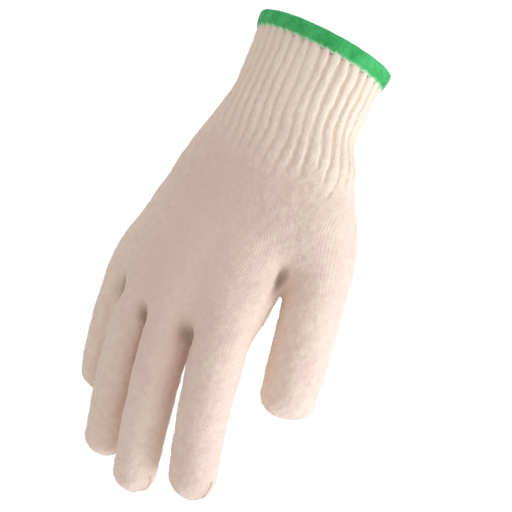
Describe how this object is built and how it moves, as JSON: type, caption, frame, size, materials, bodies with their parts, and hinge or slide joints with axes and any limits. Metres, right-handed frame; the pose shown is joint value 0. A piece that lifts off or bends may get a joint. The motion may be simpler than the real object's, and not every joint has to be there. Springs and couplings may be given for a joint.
{
  "type": "knitted cotton work glove",
  "caption": "Knitted cotton work glove in its worn form, with finger and thumb tubes, a ribbed elastic wrist and an overlocked hem.",
  "frame": {"origin": "centre of the cuff's mouth, where a wrist goes in", "axes": "+Z out of the mouth towards the forearm, -Y to the back of the hand, +Y to the palm, +X to the thumb side; the fingers point to -Z"},
  "size_m": [0.1221, 0.0742, 0.2405],
  "materials": {
    "cotton_knit": "soft undyed cotton jersey with a fine fuzz",
    "cotton_rib": "undyed cotton rib knit",
    "overlock_thread": "dense green overlock stitching"
  },
  "bodies": {
    "root": {"palm": "cotton_knit", "index_finger": "cotton_knit", "middle_finger": "cotton_knit", "ring_finger": "cotton_knit", "little_finger": "cotton_knit", "thumb": "cotton_knit", "rib_cuff": "cotton_rib", "overlock_hem": "overlock_thread"}
  },
  "joints": []
}
